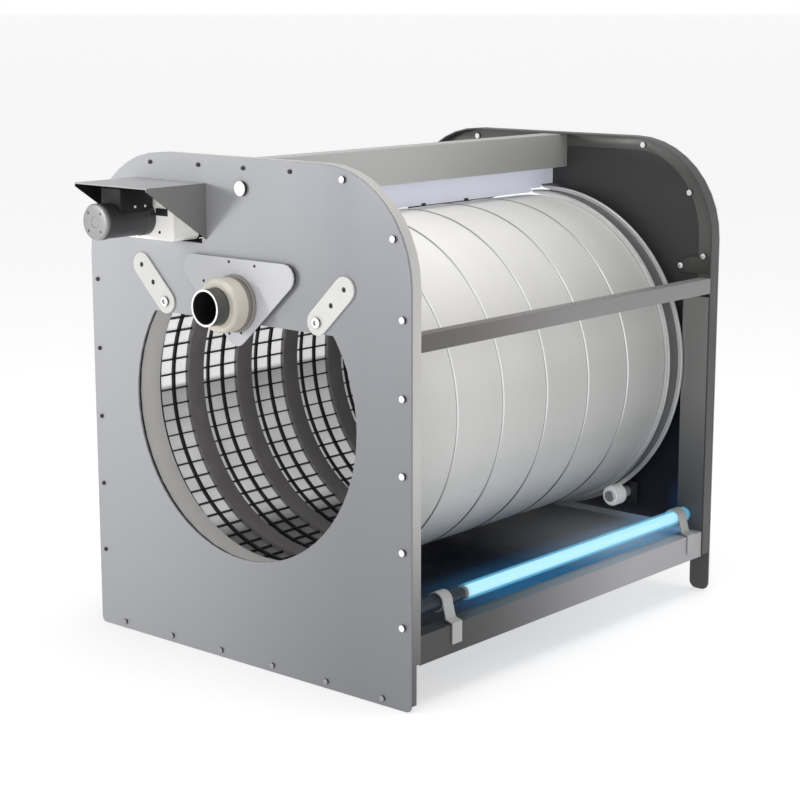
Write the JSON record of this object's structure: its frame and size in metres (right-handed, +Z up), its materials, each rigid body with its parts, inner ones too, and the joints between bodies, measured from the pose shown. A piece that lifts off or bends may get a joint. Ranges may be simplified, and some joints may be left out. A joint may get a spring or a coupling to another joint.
{
  "type": "rotary drum filter",
  "caption": "Open-sided drum filter frame with a screened drum turned by a geared motor, a waste outlet pipe, a spray bar and a lamp below.",
  "frame": {"origin": "on the floor under the middle of the whole object", "axes": "+Z up, +Y from the inlet end to the closed end along the drum axis, +X to the right seen from the inlet end"},
  "size_m": [0.6, 0.829, 0.7],
  "materials": {
    "front_sheet": "satin brushed sheet",
    "rim_sheet": "satin brushed sheet",
    "rail_steel": "satin brushed angle",
    "cover_sheet": "satin sheet",
    "rear_sheet": "dark satin sheet",
    "tray_sheet": "dark satin paint",
    "bright_steel": "bright turned steel",
    "screen_mesh": "fine woven cloth, matt",
    "white_plastic": "moulded nylon",
    "cream_plastic": "moulded pipe fitting",
    "grey_pvc": "extruded pipe",
    "dark_plastic": "moulded, dark",
    "hoop_plastic": "dark grey moulded hoop",
    "lattice_plastic": "black moulded grid",
    "motor_can": "dark satin",
    "seal_rubber": "matt",
    "quartz": "clear",
    "lamp_glow": "lit tube"
  },
  "bodies": {
    "frame": {"front_plate": "front_sheet", "front_rim": "rim_sheet", "rear_plate": "rear_sheet", "rear_rim": "rim_sheet", "rear_post_left": "rail_steel", "rear_post_right": "rail_steel", "mid_rail_left": "rail_steel", "mid_rail_right": "rail_steel", "lower_rail_left": "rail_steel", "lower_rail_right": "rail_steel", "link_plate_left": "white_plastic", "link_plate_right": "white_plastic", "guide_axle_left": "bright_steel", "guide_axle_right": "bright_steel", "roller_axle_left": "bright_steel", "roller_axle_right": "bright_steel", "roller_bracket_left": "rail_steel", "roller_bracket_right": "rail_steel", "floor_tray": "tray_sheet", "spray_cover": "cover_sheet", "splash_guard": "rim_sheet", "spray_bar": "bright_steel", "spray_bar_plug": "white_plastic", "waste_trough": "bright_steel", "waste_pipe": "grey_pvc", "waste_coupling": "cream_plastic", "waste_nut": "dark_plastic", "waste_bracket": "white_plastic", "inlet_seal": "seal_rubber", "motor_hood": "cover_sheet", "motor_body": "motor_can", "motor_end_cap": "bright_steel", "gearbox": "white_plastic", "quartz_sleeve": "quartz", "lamp_tube": "lamp_glow", "lamp_clip_front": "rail_steel", "lamp_clip_rear": "rail_steel"},
    "drum": {"ring_gear": "dark_plastic", "drum_front_ring": "rim_sheet", "hoop_1": "hoop_plastic", "hoop_2": "hoop_plastic", "hoop_3": "hoop_plastic", "hoop_4": "hoop_plastic", "hoop_5": "hoop_plastic", "hoop_6": "hoop_plastic", "lattice_1": "lattice_plastic", "lattice_2": "lattice_plastic", "lattice_3": "lattice_plastic", "lattice_4": "lattice_plastic", "lattice_5": "lattice_plastic", "lattice_6": "lattice_plastic", "screen": "screen_mesh", "drum_rear_ring": "bright_steel", "drum_rear_disc": "rear_sheet"},
    "pinion": {"pinion": "dark_plastic", "pinion_shaft": "bright_steel"},
    "roller_left": {"rear_roller_left": "white_plastic"},
    "roller_right": {"rear_roller_right": "white_plastic"},
    "guide_left": {"guide_wheel_left": "white_plastic"},
    "guide_right": {"guide_wheel_right": "white_plastic"}
  },
  "joints": [
    {"name": "drum_spin", "type": "hinge", "parent": "frame", "child": "drum", "pos_m": [0, 0, 0.358], "axis": [0, 1, 0], "continuous": true},
    {"name": "pinion_spin", "type": "hinge", "parent": "frame", "child": "pinion", "pos_m": [-0.15732, 0, 0.60991], "axis": [0, 1, 0], "continuous": true},
    {"name": "roller_left_spin", "type": "hinge", "parent": "frame", "child": "roller_left", "pos_m": [-0.148, 0, 0.13661], "axis": [0, 1, 0], "continuous": true},
    {"name": "roller_right_spin", "type": "hinge", "parent": "frame", "child": "roller_right", "pos_m": [0.148, 0, 0.13661], "axis": [0, 1, 0], "continuous": true},
    {"name": "guide_left_spin", "type": "hinge", "parent": "frame", "child": "guide_left", "pos_m": [-0.14288, 0, 0.49512], "axis": [0, 1, 0], "continuous": true},
    {"name": "guide_right_spin", "type": "hinge", "parent": "frame", "child": "guide_right", "pos_m": [0.14288, 0, 0.49512], "axis": [0, 1, 0], "continuous": true}
  ],
  "couplings": [
    {"joint": "pinion_spin", "follows": "drum_spin", "ratio": -4.8235},
    {"joint": "roller_left_spin", "follows": "drum_spin", "ratio": -15.625},
    {"joint": "roller_right_spin", "follows": "drum_spin", "ratio": -15.625},
    {"joint": "guide_left_spin", "follows": "drum_spin", "ratio": 12.056},
    {"joint": "guide_right_spin", "follows": "drum_spin", "ratio": 12.056}
  ]
}
